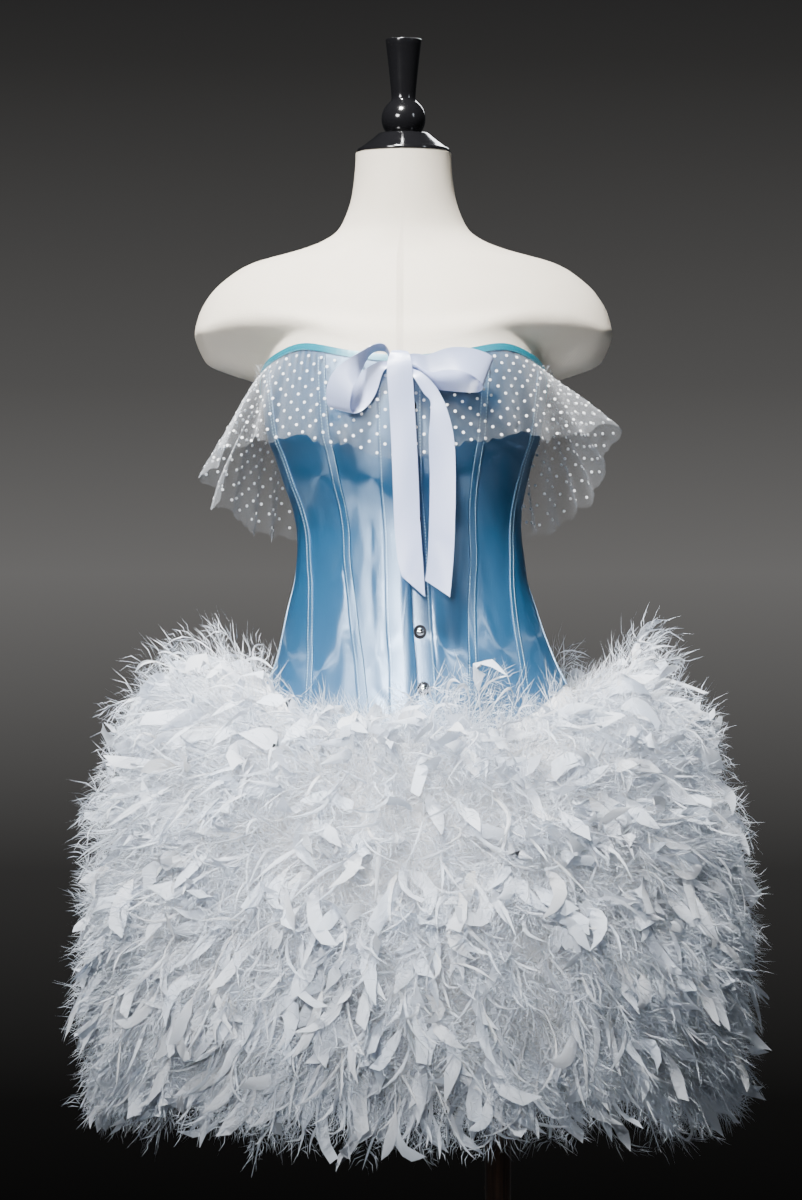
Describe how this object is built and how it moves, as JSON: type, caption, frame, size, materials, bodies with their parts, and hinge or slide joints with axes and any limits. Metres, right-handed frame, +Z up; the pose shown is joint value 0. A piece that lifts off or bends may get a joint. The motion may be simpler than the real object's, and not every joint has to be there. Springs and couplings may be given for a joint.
{
  "type": "corset dress on a limbless dress form",
  "caption": "Strapless boned satin corset dress with a net ruffle, a ribbon bow and a short full feather skirt, worn by a limbless dress form on a pole stand.",
  "frame": {"origin": "centre of the stand base's underside, on the floor", "axes": "+Z up, -Y to the front of the dress, +X to the wearer's left"},
  "size_m": [0.6966, 0.6501, 1.6295],
  "materials": {
    "satin": "light sky blue corset satin with a strong sheen",
    "binding_satin": "teal satin bias binding",
    "dark_steel": "dark busk loop plates",
    "bright_steel": "polished busk studs",
    "dotted_net": "sheer white net with flocked white dots",
    "ribbon": "pale lavender-white satin ribbon",
    "underskirt_cloth": "plain white backing cloth",
    "feather": "soft white feathers, matt, creamy in the depths",
    "form_linen": "cream linen stretched over the form",
    "black_lacquer": "gloss black lacquer on turned wood",
    "stand_wood": "dark brown varnished wood",
    "stand_steel": "satin black paint"
  },
  "bodies": {
    "root": {"front_panel_right": "satin", "side_front_panel_right": "satin", "side_panel_right": "satin", "side_back_panel_right": "satin", "back_panel_right": "satin", "front_panel_left": "satin", "side_front_panel_left": "satin", "side_panel_left": "satin", "side_back_panel_left": "satin", "back_panel_left": "satin", "top_binding": "binding_satin", "busk_loop_1": "dark_steel", "busk_loop_2": "dark_steel", "busk_loop_3": "dark_steel", "busk_loop_4": "dark_steel", "busk_loop_5": "dark_steel", "busk_loop_6": "dark_steel", "busk_stud_1": "bright_steel", "busk_stud_2": "bright_steel", "busk_stud_3": "bright_steel", "busk_stud_4": "bright_steel", "busk_stud_5": "bright_steel", "busk_stud_6": "bright_steel", "ruffle_front": "dotted_net", "ruffle_left": "dotted_net", "ruffle_back": "dotted_net", "ruffle_right": "dotted_net", "bow_knot": "ribbon", "bow_loop_right": "ribbon", "bow_loop_left": "ribbon", "bow_tail_right": "ribbon", "bow_tail_left": "ribbon", "underskirt": "underskirt_cloth", "feather_row_1": "feather", "feather_row_2": "feather", "feather_row_3": "feather", "feather_row_4": "feather", "feather_row_5": "feather", "feather_row_6": "feather", "feather_row_7": "feather", "form_torso": "form_linen", "neck_cap": "black_lacquer", "finial": "black_lacquer", "stand_pole": "stand_wood", "pole_socket": "stand_steel", "stand_base": "stand_steel"}
  },
  "joints": []
}
